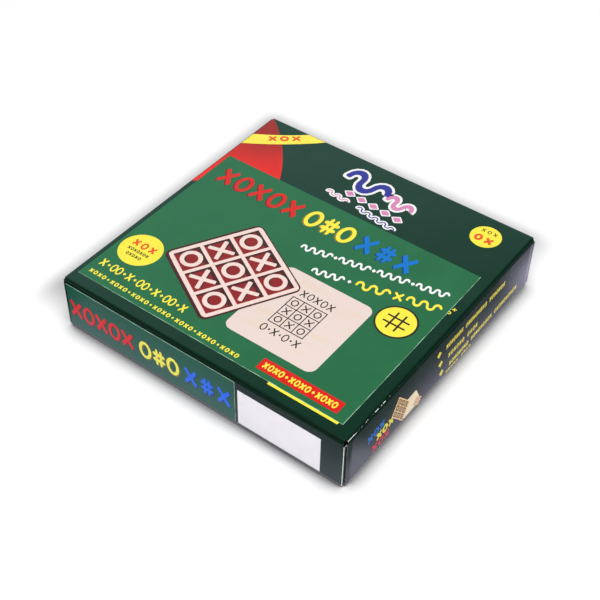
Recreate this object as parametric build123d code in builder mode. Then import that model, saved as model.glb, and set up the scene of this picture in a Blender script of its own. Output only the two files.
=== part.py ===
from build123d import *
from math import cos, radians, sin
import os

# A straight tuck-end folding carton with a wooden tic-tac-toe set packed inside it.
# Millimetres and degrees. The origin is under the middle of the carton and +Z is up.
# The front panel faces -Y, the two ends that open face -X and +X, and both are shut.

# Paperboard
caliper = 0.45
sleeve_crease = 2.0  # outside radius of the long creases and of the crease above each end
dust_crease = 0.8  # outside radius where a side panel turns into its dust flaps
tuck_crease = 1.0  # outside radius where an end panel turns into its tuck flap
hairline = 0.05  # slit that parts two panels hinged on one crease

# Wooden set
board_side = 140.0
board_corner = 11.5
base_thickness = 6.0
base_rim = 1.5  # the base shows this much all round the frame
frame_thickness = 15.0
frame_border = 8.0
frame_bar = 6.5
window_corner = 2.0
ear_radius = 6.0  # half-round finger grips on two opposite sides
piece_play = 1.5
piece_recess = 1.0  # the pieces lie this far below the top of the frame
nought_stroke = 9.0
cross_stroke = 9.0
lid_thickness = 6.0
sanded_edge = 0.6  # chamfer that sanding leaves on the wood

# Engraving on the lid
engraved_depth = 0.5
engraved_line = 1.6
engraved_cell = 25.0
engraved_mark = 15.0

# Room round the set inside the carton
side_room = 9.0
headroom = 2.1
tuck_to_board = 0.5

# End panels, tuck flaps and dust flaps
end_inset = 1.2  # an end panel is this much narrower than the sleeve at each side
tuck_length = 8.5
tuck_inset = 3.0
tuck_corner = 5.0
tuck_slope = 16.0  # the tucked flap springs up from the bottom panel by this angle
tuck_lift = 0.25
dust_reach = 25.0
dust_gap = 0.3
dust_headroom = 0.35
dust_foot = 2.0
dust_fall = 0.5  # fall of a dust flap's top edge per millimetre of reach
dust_rise = 0.08  # rise of its bottom edge per millimetre of reach
dust_corner = 4.0
sleeve_setback = 0.4  # the cut edges of the sleeve stop this far short

# Glue flap
glue_flap_height = 13.0
glue_flap_setback = 4.0
glue_flap_taper = 3.0

# Paper labels
label_thickness = 0.1
top_label_width = 149.5
top_label_depth = 110.5
top_label_from_left = 3.5
top_label_from_front = 7.5
title_label_width = 99.5
title_label_from_left = 2.5
title_label_margin = 0.2
stock_label_width = 44.0
stock_label_height = 21.4
stock_label_gap = 1.5  # between the title label and the stock label
stock_label_foot = 2.4

# The carton's size follows from what it holds
set_height = base_thickness + frame_thickness + lid_thickness
length = board_side + 2 * (tuck_to_board + tuck_length + tuck_crease)
depth = board_side + 2 * (side_room + caliper)
height = set_height + headroom + 2 * caliper
side = depth / 2
end = length / 2

# Places that several panels share
end_hinge_height = height - sleeve_crease
end_half_width = side - end_inset
tuck_half_width = end_half_width - tuck_inset
tuck_hinge_x = end - tuck_crease
tuck_hinge_height = caliper + tuck_lift
dust_face_x = end - caliper - dust_gap
dust_hinge_y = side - dust_crease
dust_root_top = end_hinge_height - caliper - dust_headroom
sleeve_half_length = dust_face_x - dust_crease
base_level = caliper
frame_level = base_level + base_thickness
lid_level = frame_level + frame_thickness

# Places in the wooden set
frame_side = board_side - 2 * base_rim
frame_corner = board_corner - base_rim
window = (frame_side - 2 * frame_border - 2 * frame_bar) / 3
pitch = window + frame_bar
piece_size = window - 2 * piece_play
piece_thickness = frame_thickness - piece_recess


def write(piece, name):
    """Label a finished piece and write it as parts/NAME.step."""
    piece.label = name
    export_step(piece, f"parts/{name}.step")


def write_both_ends(piece, name):
    """Write a piece of the right-hand end, and its mirror image for the left-hand end."""
    write(piece, f"right_{name}")
    with BuildPart() as mirrored:
        mirror(piece, about=Plane.YZ, mode=Mode.ADD)
    write(mirrored.part, f"left_{name}")


os.makedirs("parts", exist_ok=True)

# Top panel: a flat sheet whose two ends turn down through the creases that the ends hang on
with BuildPart() as top_panel:
    with BuildSketch(Plane.XZ):
        with BuildLine():
            outside = Line((0, height), (end - sleeve_crease, height))
            JernArc(outside @ 1, outside % 1, radius=sleeve_crease, arc_size=-90)
            offset(amount=caliper, side=Side.RIGHT)
        make_face()
    extrude(amount=side - sleeve_crease, both=True)
    mirror(about=Plane.YZ)
write(top_panel.part, "top_panel")

# Front panel: turns over the long creases above and below, and round into its dust flaps
with BuildPart() as front_panel:
    with BuildSketch(Plane.YZ):
        with BuildLine():
            upper = JernArc((sleeve_crease - side, height), (-1, 0), sleeve_crease, 90)
            face = Line(upper @ 1, (-side, sleeve_crease))
            JernArc(face @ 1, face % 1, sleeve_crease, 90)
            offset(amount=caliper, side=Side.LEFT)
        make_face()
    extrude(amount=sleeve_half_length, both=True)
    with BuildSketch(Plane.XY.offset(dust_foot)):
        with BuildLine():
            JernArc((sleeve_half_length, -side), (1, 0), dust_crease, 90)
            offset(amount=caliper, side=Side.LEFT)
        make_face()
        mirror(about=Plane.YZ)
    extrude(amount=dust_root_top - dust_foot)
write(front_panel.part, "front_panel")

# Bottom panel: its back edge turns up, one caliper inside the back panel, into the glue flap
glue_face_y = side - caliper
with BuildPart() as bottom_panel:
    with BuildSketch(Plane.YZ):
        with BuildLine():
            outside = Line((sleeve_crease - side, 0), (glue_face_y - sleeve_crease, 0))
            JernArc(outside @ 1, outside % 1, sleeve_crease, 90)
            offset(amount=caliper, side=Side.LEFT)
        make_face()
    extrude(amount=sleeve_half_length, both=True)
    with BuildSketch(Plane.XY):
        with Locations((0, -caliper / 2)):
            Rectangle(2 * (end - sleeve_setback), 2 * (side - sleeve_crease) - caliper)
    extrude(amount=caliper)
write(bottom_panel.part, "bottom_panel")

# Glue flap: stuck to the inside of the back panel, its ends cut at a slant
glue_flap_half = sleeve_half_length - glue_flap_setback
with BuildPart() as glue_flap:
    with BuildSketch(Plane.XZ.offset(-glue_face_y)):
        with BuildLine():
            Polyline(
                (-glue_flap_half, sleeve_crease),
                (glue_flap_half, sleeve_crease),
                (glue_flap_half - glue_flap_taper, sleeve_crease + glue_flap_height),
                (glue_flap_taper - glue_flap_half, sleeve_crease + glue_flap_height),
                close=True,
            )
        make_face()
    extrude(amount=caliper)
write(glue_flap.part, "glue_flap")

# Back panel: turns over the long crease above, ends in a cut edge below
with BuildPart() as back_panel:
    with BuildSketch(Plane.YZ):
        with BuildLine():
            upper = JernArc((side - sleeve_crease, height), (1, 0), sleeve_crease, -90)
            Line(upper @ 1, (side, sleeve_setback))
            offset(amount=caliper, side=Side.RIGHT)
        make_face()
    extrude(amount=sleeve_half_length, both=True)
    with BuildSketch(Plane.XY.offset(dust_foot)):
        with BuildLine():
            JernArc((sleeve_half_length, side), (1, 0), dust_crease, -90)
            offset(amount=caliper, side=Side.RIGHT)
        make_face()
        mirror(about=Plane.YZ)
    extrude(amount=dust_root_top - dust_foot)
write(back_panel.part, "back_panel")

# End panel: hangs from the top panel and turns in at the bottom, towards its tuck flap
with BuildPart() as end_panel:
    with BuildSketch(Plane.XZ):
        with BuildLine():
            turn_height = tuck_hinge_height + tuck_crease
            face = Line((end, end_hinge_height - hairline), (end, turn_height))
            offset(amount=caliper, side=Side.RIGHT)
        make_face()
    extrude(amount=end_half_width, both=True)
    with BuildSketch(Plane.XZ):
        with BuildLine():
            JernArc((end, turn_height), (0, -1), tuck_crease, -90)
            offset(amount=caliper, side=Side.RIGHT)
        make_face()
    extrude(amount=tuck_half_width, both=True)
write_both_ends(end_panel.part, "end_panel")

# Tuck flap: slopes up inside the carton, with round free corners
tip_run = tuck_length * cos(radians(tuck_slope))
tip_rise = tuck_length * sin(radians(tuck_slope))
tuck_root_x = tuck_hinge_x - hairline
with BuildPart() as tuck_flap:
    with BuildSketch(Plane.XZ):
        with BuildLine():
            under = Line(
                (tuck_root_x, tuck_hinge_height),
                (tuck_root_x - tip_run, tuck_hinge_height + tip_rise),
            )
            tip = PolarLine(under @ 1, caliper, 90 - tuck_slope)
            upper = Line(
                tip @ 1,
                (tuck_root_x, tuck_hinge_height + caliper / cos(radians(tuck_slope))),
            )
            Line(upper @ 1, under @ 0)
        make_face()
    extrude(amount=tuck_half_width, both=True)
    free_edge = tuck_flap.faces().sort_by(Axis.X)[0]
    fillet(free_edge.edges().filter_by(Axis.Y, reverse=True), tuck_corner)
write_both_ends(tuck_flap.part, "tuck_flap")

# Dust flaps: behind the end panel, tapered so that they leave room for it as it swings up
with BuildPart() as front_dust_flap:
    with BuildSketch(Plane.YZ.offset(dust_face_x - caliper)) as outline:
        with BuildLine():
            root_y = hairline - dust_hinge_y
            Polyline(
                (root_y, dust_foot),
                (root_y + dust_reach, dust_foot + dust_rise * dust_reach),
                (root_y + dust_reach, dust_root_top - dust_fall * dust_reach),
                (root_y, dust_root_top),
                close=True,
            )
        make_face()
        fillet(outline.vertices().group_by(Axis.X)[-1], dust_corner)
    extrude(amount=caliper)
with BuildPart() as back_dust_flap:
    mirror(front_dust_flap.part, about=Plane.XZ, mode=Mode.ADD)
write_both_ends(front_dust_flap.part, "front_dust_flap")
write_both_ends(back_dust_flap.part, "back_dust_flap")

# Labels: one on the top panel, and a title and a plain stock label on the front panel
with BuildPart() as top_label:
    with BuildSketch(Plane.XY.offset(height)):
        with Locations((top_label_from_left - end, top_label_from_front - side)):
            Rectangle(top_label_width, top_label_depth, align=Align.MIN)
    extrude(amount=label_thickness)
write(top_label.part, "top_label")

title_label_foot = sleeve_crease + title_label_margin
title_label_height = height - 2 * title_label_foot
with BuildPart() as title_label:
    with BuildSketch(Plane.XZ.offset(side)):
        with Locations((title_label_from_left - end, title_label_foot)):
            Rectangle(title_label_width, title_label_height, align=Align.MIN)
    extrude(amount=label_thickness)
write(title_label.part, "title_label")

stock_label_from_left = title_label_from_left + title_label_width + stock_label_gap
with BuildPart() as stock_label:
    with BuildSketch(Plane.XZ.offset(side)):
        with Locations((stock_label_from_left - end, stock_label_foot)):
            Rectangle(stock_label_width, stock_label_height, align=Align.MIN)
    extrude(amount=label_thickness)
write(stock_label.part, "stock_label")

# Base board: carries the frame and shows as a rim round it
with BuildPart() as base_board:
    with BuildSketch(Plane.XY.offset(base_level)):
        RectangleRounded(board_side, board_side, board_corner)
        with Locations((0, frame_side / 2), (0, -frame_side / 2)):
            Circle(ear_radius + base_rim)
    extrude(amount=base_thickness)
    chamfer(base_board.faces().sort_by(Axis.Z)[-1].edges(), sanded_edge)
write(base_board.part, "base_board")

# Grid frame: nine windows between a border and two bars each way
with BuildPart() as grid_frame:
    with BuildSketch(Plane.XY.offset(frame_level)):
        RectangleRounded(frame_side, frame_side, frame_corner)
        with Locations((0, frame_side / 2), (0, -frame_side / 2)):
            Circle(ear_radius)
        with GridLocations(pitch, pitch, 3, 3):
            RectangleRounded(window, window, window_corner, mode=Mode.SUBTRACT)
    extrude(amount=frame_thickness)
    chamfer(grid_frame.faces().sort_by(Axis.Z)[-1].outer_wire().edges(), sanded_edge)
write(grid_frame.part, "grid_frame")

# Playing pieces: noughts and crosses take turns round the windows, a nought at each corner
cells = GridLocations(pitch, pitch, 3, 3).locations
nought_cells = cells[0::2]
cross_cells = cells[1::2]
for number, cell in enumerate(nought_cells, start=1):
    with BuildPart() as nought:
        with BuildSketch(Plane.XY.offset(frame_level)):
            with Locations(cell):
                Circle(piece_size / 2)
                Circle(piece_size / 2 - nought_stroke, mode=Mode.SUBTRACT)
        extrude(amount=piece_thickness)
        chamfer(nought.faces().sort_by(Axis.Z)[-1].outer_wire().edges(), sanded_edge)
    write(nought.part, f"nought_{number}")

# With square ends, an arm of this length makes a cross as wide as a nought
cross_reach = piece_size * 2**0.5 - cross_stroke
for number, cell in enumerate(cross_cells, start=1):
    with BuildPart() as cross:
        with BuildSketch(Plane.XY.offset(frame_level)):
            with Locations(cell):
                Rectangle(cross_reach, cross_stroke, rotation=45)
                Rectangle(cross_reach, cross_stroke, rotation=-45)
        extrude(amount=piece_thickness)
        chamfer(cross.faces().sort_by(Axis.Z)[-1].edges(), sanded_edge)
    write(cross.part, f"cross_{number}")

# Lid: a flat board on top of the frame, engraved with an empty grid and two rows of marks
with BuildPart() as wooden_lid:
    with BuildSketch(Plane.XY.offset(lid_level)):
        RectangleRounded(frame_side, frame_side, frame_corner)
    extrude(amount=lid_thickness)
    chamfer(wooden_lid.faces().sort_by(Axis.Z)[-1].edges(), sanded_edge)
    with BuildSketch(Plane.XY.offset(lid_level + lid_thickness - engraved_depth)):
        with GridLocations(engraved_cell, 0, 2, 1):
            Rectangle(engraved_line, 3 * engraved_cell)
        with GridLocations(0, engraved_cell, 1, 2):
            Rectangle(3 * engraved_cell, engraved_line)
        with GridLocations(2 * engraved_cell, engraved_cell, 2, 2):
            Circle(engraved_mark / 2)
            Circle(engraved_mark / 2 - engraved_line, mode=Mode.SUBTRACT)
        with GridLocations(engraved_cell, 2 * engraved_cell, 1, 2):
            Rectangle(engraved_mark, engraved_line, rotation=45)
            Rectangle(engraved_mark, engraved_line, rotation=-45)
    extrude(amount=engraved_depth, mode=Mode.SUBTRACT)
write(wooden_lid.part, "wooden_lid")
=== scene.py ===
"""Finishes, printing and a plain studio for a wooden tic-tac-toe set in its folding carton."""

from functools import partial
from math import atan2, cos, pi, radians, sin, sqrt

import bpy
from mathutils import Matrix, Vector


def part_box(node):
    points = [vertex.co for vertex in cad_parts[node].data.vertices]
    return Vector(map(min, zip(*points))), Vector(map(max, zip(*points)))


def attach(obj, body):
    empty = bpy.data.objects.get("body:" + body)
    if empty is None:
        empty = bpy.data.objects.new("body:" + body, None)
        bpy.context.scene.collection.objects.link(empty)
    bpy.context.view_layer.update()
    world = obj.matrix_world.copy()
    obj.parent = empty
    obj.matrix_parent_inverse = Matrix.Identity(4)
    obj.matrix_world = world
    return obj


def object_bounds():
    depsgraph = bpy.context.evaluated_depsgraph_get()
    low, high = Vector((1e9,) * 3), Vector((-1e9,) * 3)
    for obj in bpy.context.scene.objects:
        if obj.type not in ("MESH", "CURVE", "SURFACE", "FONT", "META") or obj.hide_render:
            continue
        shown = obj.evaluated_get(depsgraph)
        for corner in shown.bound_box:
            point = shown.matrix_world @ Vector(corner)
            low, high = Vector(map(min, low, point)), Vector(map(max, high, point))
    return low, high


bl_info = {
    "name": "Tic-tac-toe carton",
    "version": (1, 0, 0),
    "blender": (4, 5, 0),
    "location": "3D View > Sidebar > Carton",
    "description": "Finishes, printing and studio for a wooden tic-tac-toe set in its carton",
    "category": "Object",
}

MM = 0.001

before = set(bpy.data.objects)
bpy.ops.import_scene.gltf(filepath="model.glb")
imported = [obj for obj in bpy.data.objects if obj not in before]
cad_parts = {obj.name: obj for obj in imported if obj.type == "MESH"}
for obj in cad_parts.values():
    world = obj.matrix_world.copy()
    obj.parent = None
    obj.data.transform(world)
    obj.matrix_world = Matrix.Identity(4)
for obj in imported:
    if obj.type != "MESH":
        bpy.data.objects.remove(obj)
cad_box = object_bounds()


def linear(code):
    """Turn an sRGB hex code into linear red, green and blue."""
    channels = [int(code[i : i + 2], 16) / 255 for i in (0, 2, 4)]
    return tuple(
        c / 12.92 if c <= 0.04045 else ((c + 0.055) / 1.055) ** 2.4 for c in channels
    )


def colour_property(name, description, code):
    """A colour that a user can change, with its sRGB hex code as the default."""
    return bpy.props.FloatVectorProperty(
        name=name, description=description, subtype="COLOR", size=3, min=0, max=1,
        default=linear(code),
    )


def length_property(name, description, millimetres):
    """A length that a user can change."""
    return bpy.props.FloatProperty(
        name=name, description=description, unit="LENGTH", min=0, precision=5,
        default=millimetres * MM,
    )


class CartonColours(bpy.types.PropertyGroup):
    """Colours of the board, the labels and the wood."""

    sleeve_green: colour_property("Sleeve green", "Film-laminated print of the carton", "082d1e")
    corner_crimson: colour_property("Corner crimson", "Corner print beside the back corner", "9a0404")
    corner_red: colour_property("Corner red", "Corner print beside the label", "f20a02")
    ribbon_yellow: colour_property("Ribbon yellow", "Band across the corner print", "fdea4e")
    top_label_green: colour_property("Top label green", "Gloss print of the top label", "22673f")
    title_label_green: colour_property("Title label green", "Gloss print of the front label", "0f5f49")
    paper_edge: colour_property("Paper edge", "Cut edge of the labels", "a2c6ae")
    pulp_grey: colour_property("Pulp grey", "Bare inside of the board", "b5b1a8")
    cut_board: colour_property("Cut board", "Clean cut edges of the board", "d6d3cd")
    # Partly real soiling and partly painted shade on the cut edges beside the upright corners
    soiled_and_shaded_edge: colour_property("Soiled edge", "Side edges of the end panels, handled", "3a3d3b")
    bared_core: colour_property("Bared core", "White middle of the board, bared by wear", "f0f0ee")
    sticker_white: colour_property("Sticker white", "Stock label", "f9f6fb")
    stain_maroon: colour_property("Stain maroon", "Base board of the set", "6a1524")
    wood_pale: colour_property("Wood, pale", "Light wood between the grain lines", "e3c79c")
    wood_dark: colour_property("Wood, dark", "Grain lines", "bd9562")
    burnt_line: colour_property("Burnt line", "Engraving on the wooden lid", "5b3a22")


class CartonInks(bpy.types.PropertyGroup):
    """Inks of the printed shapes."""

    red: colour_property("Red", "First group of title marks", "d6140c")
    red_shade: colour_property("Red shade", "Shaded side of the red marks", "741618")
    yellow: colour_property("Yellow", "Second group of title marks, discs and rows", "f7e440")
    yellow_shade: colour_property("Yellow shade", "Shaded side of the yellow marks", "8f7d22")
    blue: colour_property("Blue", "Third group of title marks", "0070c6")
    blue_shade: colour_property("Blue shade", "Shaded side of the blue marks", "0a3a80")
    # Brightened copies of red, yellow and blue: painted light that makes up for the dimmer light on
    # the front label
    front_red: colour_property("Front red", "First group on the front label", "e61008")
    front_yellow: colour_property("Front yellow", "Second group on the front label", "fff755")
    front_blue: colour_property("Front blue", "Third group on the front label", "006cf7")
    white: colour_property("White", "Outlines and running scrolls", "f2f0f0")
    pink: colour_property("Pink", "Emblem", "d583b0")
    violet: colour_property("Violet", "Emblem", "312c90")
    orange: colour_property("Orange", "Marks on the yellow discs", "e4531f")
    black: colour_property("Black", "Fine marks and outlines", "2a2118")
    cream: colour_property("Cream", "Pictured frame", "ecd2ca")
    maroon: colour_property("Maroon", "Rim and shaded windows of the pictured board", "470c12")
    crimson: colour_property("Crimson", "Lit part of the pictured windows", "8c1019")
    lid_pink: colour_property("Lid pink", "Pictured lid", "e0cdc6")
    sand: colour_property("Sand", "Small pictured board", "fbd596")
    brown: colour_property("Brown", "Windows of the small pictured board", "4c2e1a")
    ivory: colour_property("Ivory", "Small pictured lid", "ffedc6")
    tan: colour_property("Tan", "Small pictured base", "e8be90")


class CartonSizes(bpy.types.PropertyGroup):
    """Sizes of the printing, measured on the carton."""

    film: length_property("Film", "Thickness of one printed layer", 0.03)
    title_width: length_property("Title width", "Width of a title mark on the top label", 8.6)
    title_height: length_property("Title height", "Height of a title mark on the top label", 12.4)
    title_stroke: length_property("Title stroke", "Stroke of a title mark", 2.0)
    title_shade: length_property("Title shade", "Shift of the shaded side of a title mark", 0.55)
    board_side: length_property("Pictured board", "Side of the pictured board", 47.6)
    lid_side: length_property("Pictured lid", "Side of the pictured lid", 48.9)
    players_disc: length_property("Players disc", "Diameter of the disc near the front", 21.8)
    outlined_disc: length_property("Outlined disc", "Diameter of the disc with a dark outline", 20.4)
    corner_disc: length_property("Corner disc", "Diameter of the disc near the back", 15.5)


class CartonStudio(bpy.types.PropertyGroup):
    """Camera and light."""

    camera_place: bpy.props.FloatVectorProperty(
        name="Camera place", description="Where the photograph was taken from", subtype="TRANSLATION",
        unit="LENGTH", default=(0.23843, -0.33229, 0.40307),
    )
    camera_turn: bpy.props.FloatVectorProperty(
        name="Camera turn", description="Rotation of the camera", subtype="EULER",
        default=[radians(angle) for angle in (45.525, -0.849, 36.725)],
    )
    lens: bpy.props.FloatProperty(
        name="Lens", description="Focal length on a 36 mm sensor", subtype="DISTANCE_CAMERA",
        default=70.75,
    )
    softbox_power: bpy.props.FloatProperty(
        name="Softbox power", description="Power of the overhead softbox", subtype="POWER",
        default=14.0,
    )
    fill: bpy.props.FloatProperty(
        name="Fill", description="Brightness of the room for matt surfaces", min=0, default=0.45,
    )
    # Colour of the table's painted glow, which only mirrored rays see
    table_tint: colour_property("Table tint", "Colour of the white table in gloss", "e9e1ff")
    ceiling_tint: colour_property("Ceiling tint", "Colour of the room overhead in gloss", "ccfff8")
    floor_side: length_property("Floor", "Side of the floor", 6000)


# The main choice of a kind of node, which a full stop in its kind names
CHOICES = {
    "Math": "operation",
    "VectorMath": "operation",
    "Mix": "data_type",
    "MapRange": "interpolation_type",
}


def add_node(tree, kind, *values, named=None, **settings):
    """Add a shader node with its settings, and link or set its inputs, in their order or by name.

    A full stop in the kind comes before the node's main choice, such as its operation. A value is
    a number, a colour, a socket, or a node that stands for its first output in use.
    """
    kind, _, choice = kind.partition(".")
    node = tree.nodes.new(f"ShaderNode{kind}")
    if choice:
        settings[CHOICES[kind]] = choice
    for key, value in settings.items():
        setattr(node, key, value)
    pairs = list(zip([socket for socket in node.inputs if socket.enabled], values))
    pairs += [(node.inputs[key], value) for key, value in (named or {}).items()]
    for socket, value in pairs:
        if isinstance(value, bpy.types.Node):
            value = next(output for output in value.outputs if output.enabled)
        if isinstance(value, bpy.types.NodeSocket):
            tree.links.new(value, socket)
        elif socket.type == "RGBA":
            socket.default_value = (*value, 1.0)
        else:
            socket.default_value = value
    return node


def new_material(name):
    """A new material, the function that adds nodes to it, and the place and normal they read."""
    material = bpy.data.materials.new(name)
    material.use_nodes = True
    material.node_tree.nodes.clear()
    add = partial(add_node, material.node_tree)
    coordinates = add("TexCoord").outputs
    return material, add, coordinates["Object"], coordinates["Normal"]


def across(millimetres):
    """The scale of a noise whose blotches are about so many millimetres across."""
    return 1 / (millimetres * MM)


BLACK = (0.0, 0.0, 0.0)
WAVE_DEPTH = 0.35 * MM
GLOSS_INK = 0.30
# Print film, varnish, paper and wood are all near it
COMMON_IOR = 1.5


def finish_surface(material, add, colour, roughness, height, depth=WAVE_DEPTH):
    """Shade a material from its colour, roughness and the height of its relief, in metres."""
    bump = add("Bump", named={"Height": height, "Distance": depth})
    inputs = {"Base Color": colour, "Roughness": roughness, "Normal": bump, "IOR": COMMON_IOR}
    add("OutputMaterial", add("BsdfPrincipled", named=inputs))
    return material


def laminate_waves(add, place):
    """Height of glossy board and of paper stuck to it: never flat, with ripples a few cm long."""
    broad = add("TexNoise", place, across(38), 1.0)
    narrow = add("TexNoise", place, across(7), 2.0)
    return add("Math.MULTIPLY_ADD", narrow, 0.10, broad)


def corner_print(add, place, colour):
    """Lay the red corner print, bounded by an arc, and its yellow ribbon over the green."""
    colours = bpy.context.scene.carton_colours
    bleed = 2.2 * MM
    flat = add("VectorMath.MULTIPLY", place, (1, 1, 0))
    height = add("SeparateXYZ", place).outputs["Z"]
    on_top = add("Math.GREATER_THAN", height, cad_box[1].z - bleed)

    # Middle and radius of each arc that bounds the print, and the side of it on which the print is
    arcs = (
        ((-151.2 * MM, -19.0 * MM, 0), 121.6 * MM, "LESS_THAN"),
        ((-146.1 * MM, 178.4 * MM, 0), 135.6 * MM, "GREATER_THAN"),
        ((-164.8 * MM, 196.6 * MM, 0), 169.3 * MM, "LESS_THAN"),
    )
    bounded = []
    for centre, radius, side in arcs:
        distance = add("VectorMath.DISTANCE", flat, centre)
        bounded.append(add(f"Math.{side}", distance, radius))
    inside_arc, past_upper, before_lower = bounded

    lower_end = (-79.0 * MM, 11.0 * MM, 0)
    lower_normal = (-0.6, 0.8, 0)
    from_end = add("VectorMath.SUBTRACT", flat, lower_end)
    above = add("VectorMath.DOT_PRODUCT", from_end, lower_normal)
    above_end = add("Math.GREATER_THAN", above, 0.0)
    box_corner = (cad_box[0].x, cad_box[1].y, 0)
    red_area = add("Math.MULTIPLY", add("Math.MULTIPLY", inside_arc, above_end), on_top)
    from_corner = add("VectorMath.DISTANCE", flat, box_corner)
    fade = add("MapRange.SMOOTHSTEP", from_corner, 12 * MM, 62 * MM)
    red = add("Mix.RGBA", fade, colours.corner_crimson, colours.corner_red)
    printed = add("Mix.RGBA", red_area, colour, red)

    ribbon = add("Math.MULTIPLY", add("Math.MULTIPLY", past_upper, before_lower), on_top)
    return add("Mix.RGBA", ribbon, printed, colours.ribbon_yellow)


def rubbed_creases(add, place, normal):
    """Where the film is worn off: nicks along the right-hand crease, thickest at the near corner.

    The upright corner beside them is rubbed to a thin white line, and its foot is blunt.
    """
    near_corner = (cad_box[1].x, cad_box[0].y)
    whitest_nick = 0.85
    lean = add("SeparateXYZ", normal).outputs
    along_top = add("Math.MULTIPLY", lean["X"], lean["Z"])
    along_top = add("MapRange.SMOOTHSTEP", along_top, 0.490, 0.4985)
    from_top = add("VectorMath.DISTANCE", place, (*near_corner, cad_box[1].z))
    wear = add("MapRange.SMOOTHSTEP", from_top, 60 * MM, 12 * MM, 0.0, 0.19)
    lengthwise = add("VectorMath.MULTIPLY", place, (1, 0.30, 1))
    cracks = add("TexNoise", lengthwise, across(0.6), 6.0)
    nicked = add("MapRange.SMOOTHSTEP", add("Math.ADD", cracks, wear), 0.69, 0.75)
    nicks = add("Math.MULTIPLY", add("Math.MULTIPLY", nicked, along_top), whitest_nick)

    right_side = add("Math.GREATER_THAN", lean["X"], 0.42)
    front_side = add("Math.LESS_THAN", lean["Y"], -0.70)
    broken = add("TexNoise", place, across(2.2), 2.0)
    broken = add("MapRange.SMOOTHSTEP", broken, 0.34, 0.42)
    line = add("Math.MULTIPLY", add("Math.MULTIPLY", right_side, front_side), broken)

    from_foot = add("VectorMath.DISTANCE", place, (*near_corner, cad_box[0].z))
    ragged = add("Math.MULTIPLY_ADD", cracks, 2 * MM, from_foot)
    blunt = add("MapRange.SMOOTHSTEP", ragged, 3.4 * MM, 2.8 * MM)
    return add("Math.MAXIMUM", add("Math.MAXIMUM", nicks, line), blunt)


def folding_boxboard(name, outside, with_corner_print=False, curled=False):
    """Duplex board, offset printed and film laminated outside, bare recycled pulp inside.

    The film gives a clear reflection that ripples with the board. Where a crease is rubbed, the
    film cracks and the white middle of the board shows. Over a fold the print is darkened toward
    black: painted shade in the crease. Cut edges are pale; beside the upright corners they are
    darker, partly soiled and partly painted shade. `outside` says along which axes this
    panel's printed side faces away from the middle of the carton. A curled panel turns in
    slightly along its two upright edges. The pulp's fibres are drawn coarser than real ones, so
    that they show.
    """
    colours = bpy.context.scene.carton_colours
    film_roughness = 0.23
    board_roughness = 0.85
    edge_on = 0.3
    material, add, place, normal = new_material(name)

    middle = (0, 0, cad_box[1].z / 2)
    side = add("VectorMath.SIGN", add("VectorMath.SUBTRACT", place, middle))
    facing = add("VectorMath.DOT_PRODUCT", add("VectorMath.MULTIPLY", normal, side), outside)
    printed = add("Math.GREATER_THAN", facing, edge_on)
    bare = add("Math.LESS_THAN", facing, -edge_on)
    worn = add("Math.MULTIPLY", rubbed_creases(add, place, normal), printed)

    colour = colours.sleeve_green
    if with_corner_print:
        colour = corner_print(add, place, colour)
    mottle = add("TexNoise", place, across(11), 3.0)
    tint = add("MapRange.SMOOTHSTEP", mottle, 0.3, 0.7, 0.0, 0.10)
    level = add("SeparateXYZ", add("VectorMath.ABSOLUTE", normal)).outputs
    sideward = add("Math.MAXIMUM", level["X"], level["Y"])
    # Painted shade: where the normal leans between upright and flat, over a fold, the print is
    # darkened toward black
    fold_shade = add("Math.MULTIPLY", sideward, level["Z"])
    fold_shade = add("MapRange.SMOOTHSTEP", fold_shade, 0.16, 0.46, 0.0, 0.55)
    for darkened in (tint, fold_shade):
        colour = add("Mix.RGBA", darkened, colour, BLACK)

    fibres = add("TexNoise", place, across(0.5), 3.0)
    fleck = add("MapRange.SMOOTHSTEP", fibres, 0.35, 0.75, 0.0, 0.35)
    pulp = add("Mix.RGBA", fleck, colours.pulp_grey, colours.cut_board)
    # Cut edges facing along Y take a dark colour: partly soiling, partly painted shade
    upright_edge = add("Math.GREATER_THAN", level["Y"], 0.9)
    cut = add("Mix.RGBA", upright_edge, colours.cut_board, colours.soiled_and_shaded_edge)
    cut = add("Mix.RGBA", fleck, cut, colours.pulp_grey)
    colour = add("Mix.RGBA", worn, colour, colours.bared_core)
    colour = add("Mix.RGBA", printed, cut, colour)
    colour = add("Mix.RGBA", bare, colour, pulp)

    glossy = add("Math.SUBTRACT", printed, worn)
    roughness = add("Math.MULTIPLY_ADD", glossy, film_roughness - board_roughness, board_roughness)
    height = add("Math.MULTIPLY_ADD", fibres, 0.02, laminate_waves(add, place))
    if curled:
        from_middle = add("SeparateXYZ", add("VectorMath.ABSOLUTE", place)).outputs["Y"]
        curl = add("MapRange.SMOOTHSTEP", from_middle, 74.5 * MM, 79.0 * MM, 0.0, -1.8)
        height = add("Math.ADD", height, curl)
    return finish_surface(material, add, colour, roughness, height)


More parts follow.
